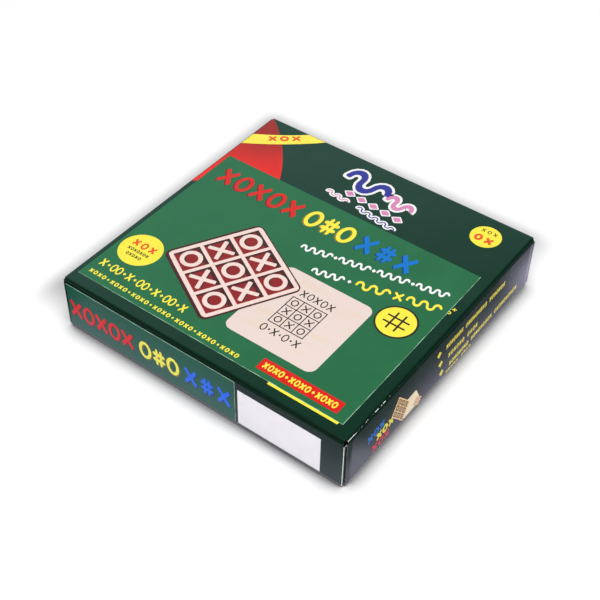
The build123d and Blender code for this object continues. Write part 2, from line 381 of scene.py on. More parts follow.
def label_paper(name, node, pale_sides, green):
    """Gloss art paper, printed green and pasted on: two cut edges show as a pale, uneven rim.

    `pale_sides` says on which side along each axis that rim is, and is 0 across the thickness.
    """
    far_off = 1.0
    dark_green = (0.01, 0.05, 0.03)
    material, add, place, _ = new_material(name)
    low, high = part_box(node)
    half = Vector([size / 2 if side else far_off for size, side in zip(high - low, pale_sides)])
    off_centre = add("VectorMath.SUBTRACT", place, (low + high) / 2)
    outward = add("VectorMath.MULTIPLY", off_centre, pale_sides)
    inset = add("SeparateXYZ", add("VectorMath.SUBTRACT", half, outward)).outputs
    nearest = add("Math.MINIMUM", add("Math.MINIMUM", inset["X"], inset["Y"]), inset["Z"])
    ragged = add("TexNoise", place, across(5), 3.0)
    rim_width = add("MapRange.SMOOTHSTEP", ragged, 0.36, 0.66, 0.06 * MM, 0.26 * MM)
    rim = add("Math.LESS_THAN", nearest, rim_width)
    mottle = add("TexNoise", place, across(14), 3.0)
    mottle = add("MapRange.SMOOTHSTEP", mottle, 0.3, 0.7, 0.0, 0.14)
    printed = add("Mix.RGBA", mottle, green, dark_green)
    colour = add("Mix.RGBA", rim, printed, bpy.context.scene.carton_colours.paper_edge)
    roughness = add("Math.MULTIPLY_ADD", rim, 0.4, GLOSS_INK)
    return finish_surface(material, add, colour, roughness, laminate_waves(add, place))


def uncoated_paper(name, colour):
    """Uncoated sticker paper: matt, slightly fibrous, with faint grey patches from handling.

    Its fibres are drawn coarser than real ones, so that they show.
    """
    handled = (0.45, 0.43, 0.45)
    matt = 0.55
    material, add, place, _ = new_material(name)
    fibres = add("TexNoise", place, across(0.4), 3.0)
    patches = add("TexNoise", place, across(9), 2.0)
    shade = add("Math.MULTIPLY_ADD", fibres, 0.3, patches)
    shade = add("MapRange.SMOOTHSTEP", shade, 0.5, 0.95, 0.0, 0.10)
    paper = add("Mix.RGBA", shade, colour, handled)
    height = add("Math.MULTIPLY_ADD", fibres, 0.05, laminate_waves(add, place))
    return finish_surface(material, add, paper, matt, height)


def offset_ink(ink):
    """Offset ink on gloss paper: near-even colour, a faint mottle and the paper's own ripples."""
    name = f"offset ink, {ink}"
    if name in bpy.data.materials:
        return bpy.data.materials[name]
    colour = getattr(bpy.context.scene.carton_inks, ink)
    darker = [0.6 * channel for channel in colour]
    material, add, place, _ = new_material(name)
    mottle = add("TexNoise", place, across(1.6), 3.0)
    mottle = add("MapRange.SMOOTHSTEP", mottle, 0.35, 0.7, 0.0, 0.16)
    inked = add("Mix.RGBA", mottle, colour, darker)
    return finish_surface(material, add, inked, GLOSS_INK, laminate_waves(add, place))


def pictured_wood(name):
    """Halftone picture of pale wood: cream, with soft yellowish streaks along the grain."""
    streak = linear("dfc193")
    material, add, place, _ = new_material(name)
    along_grain = add("VectorMath.MULTIPLY", place, (0.5, 2.2, 1))
    streaks = add("TexNoise", along_grain, across(9), 4.0)
    warm = add("MapRange.SMOOTHSTEP", streaks, 0.48, 0.78, 0.0, 0.28)
    inked = add("Mix.RGBA", warm, bpy.context.scene.carton_inks.lid_pink, streak)
    return finish_surface(material, add, inked, GLOSS_INK, laminate_waves(add, place))


def grain_lines(add, place):
    """Long thin grain along X, a third of a millimetre apart, with a slower drift in its colour."""
    fine = add("TexNoise", add("VectorMath.MULTIPLY", place, (0.03, 1, 1)), across(0.35), 3.0)
    broad = add("TexNoise", add("VectorMath.MULTIPLY", place, (0.12, 1, 1)), across(5), 2.0)
    return add("Math.MULTIPLY_ADD", fine, 0.5, add("Math.MULTIPLY", broad, 0.5))


def sanded_wood(name):
    """Sanded rubberwood, bare: matt, straight grained, cream with tan pores."""
    colours = bpy.context.scene.carton_colours
    material, add, place, _ = new_material(name)
    grain = grain_lines(add, place)
    dark = add("MapRange.SMOOTHSTEP", grain, 0.42, 0.66, 0.0, 0.8)
    colour = add("Mix.RGBA", dark, colours.wood_pale, colours.wood_dark)
    return finish_surface(material, add, colour, 0.62, grain, 0.06 * MM)


def stained_fibreboard(name):
    """Fibreboard under a maroon spirit stain: even, with short fibres and a dull satin surface.

    Its fibres are drawn coarser than real ones, so that they show.
    """
    stain = bpy.context.scene.carton_colours.stain_maroon
    darker = [0.45 * channel for channel in stain]
    material, add, place, _ = new_material(name)
    fibres = add("TexNoise", place, across(0.6), 4.0)
    dark = add("MapRange.SMOOTHSTEP", fibres, 0.35, 0.7, 0.0, 0.6)
    colour = add("Mix.RGBA", dark, stain, darker)
    return finish_surface(material, add, colour, 0.45, fibres, 0.04 * MM)


def birch_plywood(name):
    """Birch plywood, laser engraved: long pale grain, edges of two tones, brown burnt lines."""
    colours = bpy.context.scene.carton_colours
    cross_ply = linear("9a7448")
    ply = 1.2 * MM
    burn_start = 0.2 * MM
    burn_end = 0.9 * MM
    low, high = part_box("wooden_lid")
    material, add, place, normal = new_material(name)
    grain = grain_lines(add, place)
    dark = add("MapRange.SMOOTHSTEP", grain, 0.40, 0.68, 0.0, 0.7)
    face = add("Mix.RGBA", dark, colours.wood_pale, colours.wood_dark)

    height = add("SeparateXYZ", place).outputs["Z"]
    plies = add("Math.DIVIDE", add("Math.SUBTRACT", height, low.z), ply)
    odd = add("Math.FLOORED_MODULO", add("Math.FLOOR", plies), 2.0)
    edge = add("Mix.RGBA", add("Math.MULTIPLY", odd, 0.75), face, cross_ply)
    upward = add("SeparateXYZ", normal).outputs["Z"]
    flat = add("Math.GREATER_THAN", add("Math.ABSOLUTE", upward), 0.6)
    colour = add("Mix.RGBA", flat, edge, face)

    under_top = add("Math.LESS_THAN", height, high.z - burn_start)
    above_bottom = add("Math.GREATER_THAN", height, high.z - burn_end)
    engraved = add("Math.MULTIPLY", add("Math.MULTIPLY", under_top, above_bottom), flat)
    colour = add("Mix.RGBA", engraved, colour, colours.burnt_line)
    return finish_surface(material, add, colour, 0.58, grain, 0.05 * MM)


def dress(names, material):
    """Give CAD nodes one material."""
    for name in names:
        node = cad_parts[name]
        node.data.materials.clear()
        node.data.materials.append(material)


def plane_of(corner, turn_about_z=0.0, upright=False):
    """The plane of a printed surface, as a matrix from its own x, y and height."""
    turned = Matrix.Rotation(radians(turn_about_z), 4, "Z")
    stood = Matrix.Rotation(radians(90 if upright else 0), 4, "X")
    return Matrix.Translation(corner) @ turned @ stood


# Each printed surface: the plane through its lower left corner as a viewer faces it, and its body
label_low, label_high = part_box("top_label")
title_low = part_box("title_label")[0]
panel_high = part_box("top_panel")[1]
end_low, end_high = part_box("right_end_panel")
SURFACES = {
    "top label": (plane_of((label_low.x, label_low.y, label_high.z)), "carton"),
    "top panel": (plane_of((cad_box[0].x, cad_box[0].y, panel_high.z)), "carton"),
    "title label": (plane_of(title_low, upright=True), "carton"),
    "right end": (plane_of((end_high.x, end_low.y, end_low.z), 90, upright=True), "right_end"),
    "left end": (plane_of((-end_high.x, end_high.y, end_low.z), -90, upright=True), "left_end"),
}


# Flat pieces are made from lengths in millimetres, flat on their sheet, and print_on lays them down
RING_POINTS = 44
DISC_POINTS = 72
CORNER_STEPS = 6
END_STEPS = 3
WAVE_STEPS = 8


def metres(*lengths):
    """Lengths in metres from the same in millimetres."""
    return [length * MM for length in lengths]


def start_editing(domain="FACE"):
    """Open the new primitive in edit mode with all of it selected."""
    bpy.ops.object.mode_set(mode="EDIT")
    bpy.ops.mesh.select_mode(type=domain)
    bpy.ops.mesh.select_all(action="SELECT")


def stop_editing():
    """Leave edit mode and return the edited piece."""
    bpy.ops.object.mode_set(mode="OBJECT")
    return bpy.context.object


def pick_points(test):
    """Select the edited piece's points that pass a test on their place."""
    bpy.ops.mesh.select_mode(type="VERT")
    bpy.ops.mesh.select_all(action="DESELECT")
    bpy.ops.object.mode_set(mode="OBJECT")
    for point in bpy.context.object.data.vertices:
        point.select = test(point.co)
    bpy.ops.object.mode_set(mode="EDIT")


def round_points(offset, segments):
    """Round the corners at the selected points."""
    bpy.ops.mesh.bevel(offset=offset, segments=segments, affect="VERTICES")


def choose(piece):
    """Make this piece the only one that operators act on."""
    bpy.ops.object.select_all(action="DESELECT")
    piece.select_set(True)
    bpy.context.view_layer.objects.active = piece


def settle(piece):
    """Move a piece's place, turn and scale into its mesh, and return the piece."""
    bpy.ops.object.transform_apply(location=True, rotation=True, scale=True)
    return piece


def face_up(piece):
    """Turn a flat piece's faces over if they look down, and return the piece."""
    if piece.data.polygons[0].normal.z < 0:
        start_editing()
        bpy.ops.mesh.flip_normals()
        stop_editing()
    return piece


def nought(width, height, stroke):
    """A flat oval ring: a circle inset by its stroke, with its middle taken out."""
    width, height, stroke = metres(width, height, stroke)
    bpy.ops.mesh.primitive_circle_add(vertices=RING_POINTS, radius=width / 2, fill_type="NGON")
    start_editing()
    bpy.ops.transform.resize(value=(1, height / width, 1))
    bpy.ops.mesh.inset(thickness=stroke)
    bpy.ops.mesh.delete(type="FACE")
    return stop_editing()


def cross(width, height, stroke):
    """A flat cross: a small square whose four sides grow into arms, turned onto its diagonals."""
    width, height, stroke = metres(width, height, stroke)
    arm = width / sqrt(2) - stroke
    reach = 0.8 * stroke
    bpy.ops.mesh.primitive_plane_add(size=stroke)
    start_editing()
    for way in (Vector((1, 0, 0)), Vector((0, 1, 0)), Vector((-1, 0, 0)), Vector((0, -1, 0))):
        pick_points(lambda point: point.dot(way) > 0.49 * stroke and point.length < reach)
        bpy.ops.mesh.extrude_region_move(TRANSFORM_OT_translate={"value": way * arm})
    pick_points(lambda point: point.length > reach)
    round_points(0.28 * stroke, END_STEPS)
    bpy.ops.mesh.select_all(action="SELECT")
    bpy.ops.transform.rotate(value=radians(45), orient_axis="Z", center_override=(0, 0, 0))
    bpy.ops.transform.resize(value=(1, height / width, 1))
    return stop_editing()


def tile(width, height, radius):
    """A flat rectangle with round corners."""
    width, height, radius = metres(width, height, radius)
    bpy.ops.mesh.primitive_plane_add(size=1)
    start_editing("VERT")
    bpy.ops.transform.resize(value=(width, height, 1))
    round_points(radius, CORNER_STEPS)
    return stop_editing()


def disc(diameter, border=0.0):
    """A flat round patch, its rim closed by a narrow ring of faces."""
    diameter, border = metres(diameter, border)
    radius = diameter / 2 - border
    bpy.ops.mesh.primitive_circle_add(vertices=DISC_POINTS, radius=radius, fill_type="NGON")
    start_editing()
    bpy.ops.mesh.inset(thickness=diameter * 0.02)
    return stop_editing()


def emptied_grid(side, cells, bar):
    """Open a new grid in edit mode with each of its faces inset and taken out."""
    bpy.ops.mesh.primitive_grid_add(x_subdivisions=cells, y_subdivisions=cells, size=side)
    start_editing()
    bpy.ops.mesh.inset(thickness=bar / 2, use_individual=True)
    bpy.ops.mesh.delete(type="FACE")


def lattice(side, cells, bar, border, radius):
    """A flat frame with square windows: an emptied grid whose rim is drawn out to its border."""
    side, bar, border, radius = metres(side, bar, border, radius)
    inner = side - 2 * border + bar
    emptied_grid(inner, cells, bar)
    pick_points(lambda point: max(abs(point.x), abs(point.y)) > 0.499 * inner)
    bpy.ops.transform.resize(value=(side / inner, side / inner, 1), center_override=(0, 0, 0))
    if radius:
        pick_points(lambda point: min(abs(point.x), abs(point.y)) > 0.499 * side)
        round_points(radius, CORNER_STEPS)
    return stop_editing()


def bare_grid(width, height, stroke):
    """The empty game grid, two bars across two: an emptied grid with open outer cells."""
    width, height, stroke = metres(width, height, stroke)
    bar = stroke * 0.8
    edge = width / 2 - 0.75 * bar
    emptied_grid(width, 3, bar)
    pick_points(lambda point: max(abs(point.x), abs(point.y)) > edge)
    bpy.ops.mesh.select_mode(type="FACE")
    bpy.ops.mesh.delete(type="FACE")
    bpy.ops.mesh.select_all(action="SELECT")
    bpy.ops.transform.resize(value=(1, height / width, 1))
    return stop_editing()


def wave(arcs, arc_width, height, stroke):
    """A flat running wave: the edge of a short strip is spun by half turns, up and down in turn."""
    arc_width, height, stroke = metres(arc_width, height, stroke)
    radius = arc_width / 2
    near = 0.6 * stroke
    bpy.ops.mesh.primitive_plane_add(size=stroke)
    start_editing("VERT")
    bpy.ops.transform.resize(value=(1, 0.5, 1))
    bpy.ops.transform.translate(value=(0, -stroke / 4, 0))
    for index in range(arcs):
        middle = 2 * index * radius
        pick_points(lambda point: abs(point.y) < 0.01 * stroke and abs(point.x - middle) < near)
        centre = (middle + radius, 0, 0)
        turn = -pi if index % 2 else pi
        bpy.ops.mesh.spin(steps=WAVE_STEPS, angle=turn, center=centre, axis=(0, 0, 1))
    last = 2 * arcs * radius
    pick_points(
        lambda point: point.y < -0.4 * stroke and abs(point.x) < near
        or abs(point.y) < 0.01 * stroke and abs(point.x - last) < near
    )
    round_points(0.3 * stroke, END_STEPS)
    bpy.ops.mesh.select_all(action="SELECT")
    bpy.ops.mesh.normals_make_consistent(inside=False)
    bpy.ops.transform.translate(value=(-arcs * radius, 0, 0))
    squeeze = (1, height / (arc_width + stroke), 1)
    bpy.ops.transform.resize(value=squeeze, center_override=(0, 0, 0))
    return face_up(stop_editing())


def lozenge(width, height):
    """A flat lozenge with blunt points."""
    width, height = metres(width, height)
    bpy.ops.mesh.primitive_circle_add(vertices=4, radius=width / 2, fill_type="NGON")
    start_editing("VERT")
    bpy.ops.transform.resize(value=(1, height / width, 1))
    round_points(width * 0.08, 2)
    return stop_editing()


# How each kind of mark is made from its width, height and stroke
MARKS = {
    "o": nought,
    "x": cross,
    "#": bare_grid,
    "-": lambda width, height, stroke: lozenge(width, height),
    ".": lambda width, height, stroke: lozenge(stroke * 2.2, stroke * 2.6),
    "s": lambda width, height, stroke: tile(width, height, 0.03 * width),
}


def row(pattern, first, last):
    """Places for a row of marks, evenly spaced from first to last: kind, place and turn of each."""
    first = Vector(first)
    line = Vector(last) - first
    turn = atan2(line.y, line.x)
    steps = max(len(pattern) - 1, 1)
    return [
        (kind, first + line * (index / steps), turn)
        for index, kind in enumerate(pattern)
        if kind != " "
    ]


def nine_places(x, y, pitch):
    """Places for noughts and crosses in turn, three by three about a middle."""
    places = []
    for line, pattern in enumerate(("oxo", "xox", "oxo")):
        level = y + (1 - line) * pitch
        places += row(pattern, (x - pitch, level), (x + pitch, level))
    return places


def stamp(places, width, height, stroke, scroll=None):
    """Model each kind of mark once, copy it to its places and join the copies into one flat piece.

    The kind "~" is a running scroll, and `scroll` gives its number of arcs and the width of each.
    """
    models = {}
    for kind in sorted({place[0] for place in places}):
        if kind == "~":
            models[kind] = wave(*scroll, height, stroke)
        else:
            models[kind] = MARKS[kind](width, height, stroke)
    copies = []
    for kind, at, turn in places:
        choose(models[kind])
        bpy.ops.object.duplicate()
        copy = bpy.context.object
        copy.location = (*metres(*at), 0)
        copy.rotation_euler.z = turn
        copies.append(copy)
    for model in models.values():
        bpy.data.objects.remove(model)
    choose(copies[0])
    for copy in copies:
        copy.select_set(True)
    if len(copies) > 1:
        bpy.ops.object.join()
    return settle(bpy.context.object)


def put(piece, x, y, turn=0.0):
    """Move a flat piece on its sheet by millimetres, and turn it by degrees."""
    choose(piece)
    piece.location = (*metres(x, y), 0)
    piece.rotation_euler.z = radians(turn)
    return settle(piece)


def copy_of(piece, x, y):
    """A copy of a flat piece, shifted on its sheet by millimetres."""
    choose(piece)
    bpy.ops.object.duplicate()
    return put(bpy.context.object, x, y)


def print_on(surface, piece, name, layer, ink):
    """Give a flat piece its film, and lay it on a surface over the layers below.

    The ink is the name of one, or a material.
    """
    film = bpy.context.scene.carton_sizes.film
    plane, body = SURFACES[surface]
    choose(piece)
    face_up(piece).name = name
    bpy.ops.object.modifier_add(type="SOLIDIFY")
    piece.modifiers[0].thickness = film
    piece.modifiers[0].offset = 1
    bpy.ops.object.modifier_apply(modifier=piece.modifiers[0].name)
    piece.matrix_world = plane @ Matrix.Translation((0, 0, (layer - 1) * film))
    settle(piece)
    piece.data.materials.clear()
    piece.data.materials.append(offset_ink(ink) if isinstance(ink, str) else ink)
    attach(piece, body)


def print_marks(surface, name, layer, ink, size, *rows, scroll=None):
    """Print rows of marks as one piece: each row is its pattern, its first and its last place.

    The size is the width, height and stroke of one mark.
    """
    places = [place for one_row in rows for place in row(*one_row)]
    print_on(surface, stamp(places, *size, scroll), name, layer, ink)


class CARTON_OT_finish_board(bpy.types.Operator):
    """Give every panel and flap of the carton its printed, laminated board"""

    bl_idname = "carton.finish_board"
    bl_label = "Finish the board"

    def execute(self, context):
        dress(["top_panel"], folding_boxboard("folding boxboard, top", (1, 0, 1), True))
        dress(["back_panel"], folding_boxboard("folding boxboard, back", (1, 1, 1), True))
        dress(["front_panel"], folding_boxboard("folding boxboard, front", (1, 1, 1)))
        dress(["bottom_panel"], folding_boxboard("folding boxboard, bottom", (0, 1, 1)))
        dress(["glue_flap"], folding_boxboard("folding boxboard, glue flap", (0, 1, 0)))
        ends = folding_boxboard("folding boxboard, ends", (1, 0, 1), curled=True)
        tucks = folding_boxboard("folding boxboard, tucks", (0, 0, 1))
        dust = folding_boxboard("folding boxboard, dust flaps", (1, 0, 0))
        for side in ("right", "left"):
            dress([f"{side}_end_panel"], ends)
            dress([f"{side}_tuck_flap"], tucks)
            dress([f"{side}_front_dust_flap", f"{side}_back_dust_flap"], dust)
        return {"FINISHED"}


class CARTON_OT_finish_labels(bpy.types.Operator):
    """Give the three pasted labels their paper"""

    bl_idname = "carton.finish_labels"
    bl_label = "Finish the labels"

    def execute(self, context):
        colours = context.scene.carton_colours
        labels = (
            ("top", "top_label", (1, -1, 0), colours.top_label_green),
            ("front", "title_label", (1, 0, 1), colours.title_label_green),
        )
        for name, node, pale_sides, green in labels:
            dress([node], label_paper(f"gloss label paper, {name}", node, pale_sides, green))
        dress(["stock_label"], uncoated_paper("uncoated sticker paper", colours.sticker_white))
        return {"FINISHED"}


class CARTON_OT_finish_wood(bpy.types.Operator):
    """Give the wooden set its stain, its grain and its engraving"""

    bl_idname = "carton.finish_wood"
    bl_label = "Finish the wooden set"

    def execute(self, context):
        dress(["base_board"], stained_fibreboard("stained fibreboard"))
        loose = [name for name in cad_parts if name.startswith(("nought_", "cross_"))]
        dress(["grid_frame", *loose], sanded_wood("sanded rubberwood"))
        dress(["wooden_lid"], birch_plywood("birch plywood"))
        return {"FINISHED"}


class CARTON_OT_print_title(bpy.types.Operator):
    """Print the title place of both labels with red, yellow and blue noughts and crosses"""

    bl_idname = "carton.print_title"
    bl_label = "Print the title marks"

    def execute(self, context):
        sizes = context.scene.carton_sizes
        size = [sizes.title_width / MM, sizes.title_height / MM, sizes.title_stroke / MM]
        groups = (("red", "xoxox"), ("yellow", "o#o"), ("blue", "x#x"))
        top_ends = ((10.6, 51.4), (64.0, 83.2), (95.2, 117.2))
        front_ends = ((4.8, 36.8), (47.6, 64.0), (74.4, 93.2))
        # Surface, name, start of the inks' names, level, ends of each group, scale, shade's way
        titles = (
            ("top label", "top_title", "", 96.6, top_ends, 1.0, -1),
            # The front label takes the brightened front inks, painted light for its dimmer face
            ("title label", "front_title", "front_", 11.8, front_ends, 0.86, 1),
        )
        for surface, name, inks, level, ends, scale, way in titles:
            shift = sizes.title_shade / MM * scale
            for (colour, pattern), (first, last) in zip(groups, ends):
                places = row(pattern, (first, level), (last, level))
                marks = stamp(places, *[length * scale for length in size])
                shade = copy_of(marks, way * shift, -shift)
                print_on(surface, shade, f"{name}_{colour}_shade", 1, f"{colour}_shade")
                print_on(surface, marks, f"{name}_{colour}_marks", 2, f"{inks}{colour}")
        return {"FINISHED"}


class CARTON_OT_print_rows(bpy.types.Operator):
    """Print the rows of small ornament on the top label"""

    bl_idname = "carton.print_rows"
    bl_label = "Print the ornament rows"

    def execute(self, context):
        small = (2.6, 4.4, 0.95)
        tiny = ".".join(["xoxo"] * 7)
        # Name, ink, size of a mark, row, and the number of a scroll's arcs and their width
        rows = (
            ("scroll_row_upper", "white", small, ("~.~.~.~", (79.0, 78.4), (136.6, 89.2)), (7, 2.25)),
            ("scroll_row_lower_white", "white", small, ("~.", (92.6, 68.5), (103.0, 70.9)), (7, 2.25)),
            (
                "scroll_row_lower_yellow", "yellow", (4.8, 5.6, 1.15),
                ("~x~", (114.4, 73.5), (138.2, 79.2)), (5, 3.2),
            ),
            (
                "front_row_large", "yellow", (3.2, 5.2, 0.75),
                ("x.oo.x.oo.x.oo.x", (5.0, 12.0), (54.0, 11.2)), None,
            ),
            ("front_row_small", "yellow", (2.0, 2.6, 0.6), (tiny, (4.2, 4.6), (91.0, 3.4)), None),
        )
        for name, ink, size, marks, scroll in rows:
            print_marks("top label", name, 1, ink, size, marks, scroll=scroll)
        return {"FINISHED"}


class CARTON_OT_print_discs(bpy.types.Operator):
    """Print the three yellow discs and their small marks"""

    bl_idname = "carton.print_discs"
    bl_label = "Print the discs"

    def execute(self, context):
        sizes = context.scene.carton_sizes
        outlined = sizes.outlined_disc / MM
        middle = (134.4, 62.3)
        outline = 0.95
        grid = lattice(11.4, 3, outline, 0.0, 0)
        # Surface, piece, place, name, layer and ink
        shapes = (
            ("top label", disc(sizes.players_disc / MM), (12.7, 28.6), "players_disc", 1, "yellow"),
            ("top label", disc(outlined), middle, "outlined_disc_rim", 1, "black"),
            ("top label", disc(outlined, outline), middle, "outlined_disc_face", 2, "yellow"),
            ("top label", grid, middle, "outlined_disc_grid", 3, "black"),
            ("top panel", disc(sizes.corner_disc / MM), (140.4, 144.0), "corner_disc", 1, "yellow"),
        )
        for surface, piece, place, name, layer, ink in shapes:
            print_on(surface, put(piece, *place), name, layer, ink)
        # Surface, name, ink, size of a mark and rows
        marks = (
            (
                "top label", "players_disc_red_marks", "orange", (3.6, 4.6, 1.0),
                ("xox", (7.8, 31.6), (17.6, 31.6)),
            ),
            (
                "top label", "players_disc_fine_marks", "black", (1.5, 2.1, 0.42),
                ("xoxoxox", (7.2, 27.0), (18.2, 27.0)), ("oxoxo", (9.0, 23.6), (16.4, 23.6)),
            ),
            (
                "top panel", "corner_disc_bold_marks", "orange", (4.2, 4.8, 1.3),
                ("ox", (137.6, 142.0), (143.2, 142.0)),
            ),
            (
                "top panel", "corner_disc_fine_marks", "black", (2.0, 2.6, 0.4),
                ("xox", (137.2, 147.9), (143.6, 147.9)),
            ),
        )
        for surface, name, ink, size, *rows in marks:
            print_marks(surface, name, 2, ink, size, *rows)
        return {"FINISHED"}


class CARTON_OT_print_board_picture(bpy.types.Operator):
    """Print a generic tic-tac-toe board, tilted, with noughts and crosses in its windows"""

    bl_idname = "carton.print_board_picture"
    bl_label = "Print the pictured board"

    def execute(self, context):
        side = context.scene.carton_sizes.board_side / MM
        x, y, turn = 56.1, 44.1, -29.5
        rim = 1.1
        bar = 1.9
        border = 2.2
        corner = 2.6
        rim_shift = -0.35
        pitch = (side - 2 * border + bar) / 3
        window = pitch - bar
        # The lit part of a window leaves a shaded strip along two of its sides
        lit = Vector((0.7, -1.0))
        steps = (-1, 0, 1)
        windows = [("s", lit + Vector((i, j)) * pitch, 0.0) for i in steps for j in steps]
        back = tile(side + 2 * rim, side + 2 * rim, corner + rim)
        panes = stamp(windows, window - 2 * lit.x, window + 2 * lit.y, 0)
        grid = lattice(side, 3, bar, border, corner)
        marks = put(stamp(nine_places(0, 0, pitch), 11.0, 11.0, 2.2), x, y, turn)
        # Piece, place, name, layer and ink
        layers = (
            (put(back, x + rim_shift, y + rim_shift, turn), "pictured_board_back", 4, "maroon"),
            (put(panes, x, y, turn), "pictured_board_panes", 5, "crimson"),
            (put(grid, x, y, turn), "pictured_board_frame", 5, "cream"),
            (copy_of(marks, 0.5, 0.45), "pictured_marks_shade", 6, "black"),
            (marks, "pictured_marks", 7, "cream"),
        )
        for piece, name, layer, ink in layers:
            print_on("top label", piece, name, layer, ink)
        return {"FINISHED"}


class CARTON_OT_print_lid_picture(bpy.types.Operator):
    """Print a generic wooden lid with a fine grid and two rows of marks"""

    bl_idname = "carton.print_lid_picture"
    bl_label = "Print the pictured lid"

    def execute(self, context):
        side = context.scene.carton_sizes.lid_side / MM
        x, y = 98.0, 39.0
        cell = 6.3
        line = 0.5
        board = put(tile(side, side, 4.2), x + 0.6, y - 0.5)
        print_on("top label", board, "pictured_lid", 1, pictured_wood("halftone wood"))
        grid = put(lattice(3 * cell + line, 3, line, line, 0), x, y - 1)
        print_on("top label", grid, "pictured_lid_grid", 2, "black")
        fine = stamp(nine_places(x, y - 1, cell), 3.7, 4.1, 0.6)
        print_on("top label", fine, "pictured_lid_marks", 2, "black")
        rows = (
            ("xoxox", (x - 6.5, y + 12.7), (x + 8.4, y + 12.7)),
            ("o.x.o.x", (x - 8.6, y - 14.6), (x + 9.3, y - 14.6)),
        )
        print_marks("top label", "pictured_lid_rows", 2, "black", (3.1, 4.6, 0.55), *rows)
        return {"FINISHED"}


class CARTON_OT_print_bars(bpy.types.Operator):
    """Print the red bar, and the older print that shows beyond the label's edges"""

    bl_idname = "carton.print_bars"
    bl_label = "Print the bars"

    def execute(self, context):
        print_on("top label", put(tile(42.6, 6.8, 0.4), 122.8, 6.5), "red_bar", 1, "red")
        marks = ("xoxo.xoxo.xoxo", (104.6, 6.5), (140.8, 6.5))
        print_marks("top label", "red_bar_marks", 2, "yellow", (2.5, 3.8, 0.72), marks)
        line = put(tile(36.4, 2.2, 0.3), 132.8, 7.4)
        print_on("top panel", line, "front_margin_line", 1, "yellow")
        stray = ("ox", (153.4, 89.4), (154.4, 92.4))
        print_marks("top panel", "right_margin_marks", 1, "yellow", (1.9, 1.9, 0.5), stray)
        return {"FINISHED"}


class CARTON_OT_print_emblem(bpy.types.Operator):
    """Print a plain emblem of scrolls and a row of lozenges, and the ribbon's marks"""

    bl_idname = "carton.print_emblem"
    bl_label = "Print the emblem"

    def execute(self, context):
        # Name, ink, row, size of a mark, a scroll's arcs and their width, and width of the outline
        groups = (
            ("scroll", "violet", ("~", (73.6, 141.6), (77.6, 141.0)), (0, 14.6, 3.2), (3, 8.0), 1.35),
            ("scroll_end", "pink", ("~", (94.6, 138.0), (98.6, 137.2)), (0, 9.4, 2.2), (3, 4.8), 1.2),
            ("rule", "pink", ("-----", (70.2, 131.0), (99.8, 128.4)), (5.4, 4.0, 0), None, 0.95),
            (
                "small_scroll_left", "pink", ("~", (66.4, 125.6), (72.0, 124.9)),
                (0, 2.8, 0.75), (5, 2.6), 0.85,
            ),
            (
                "small_scroll_right", "violet", ("~", (91.0, 122.6), (96.0, 121.8)),
                (0, 2.8, 0.75), (9, 2.6), 0.85,
            ),
        )
        for name, ink, marks, size, scroll, outline in groups:
            name = f"emblem_{name}"
            wider = [length + 2 * outline for length in size]
            print_marks("top panel", f"{name}_outline", 1, "white", wider, marks, scroll=scroll)
            print_marks("top panel", name, 2, ink, size, marks, scroll=scroll)

        # The ribbon's middle line is an arc about a point outside the carton
        arc_centre = Vector((-155.5, 187.5)) - Vector((cad_box[0].x, cad_box[0].y)) / MM
        arc_radius = 151.6
        middle_angle = radians(-52.4)
        spacing = radians(2.35)
        places = []
        for index, kind in enumerate("xox"):
            angle = middle_angle + (index - 1) * spacing
            at = arc_centre + arc_radius * Vector((cos(angle), sin(angle)))
            places.append((kind, at, angle + pi / 2))
        print_on("top panel", stamp(places, 4.8, 4.4, 1.3), "ribbon_marks", 1, "orange")
        return {"FINISHED"}


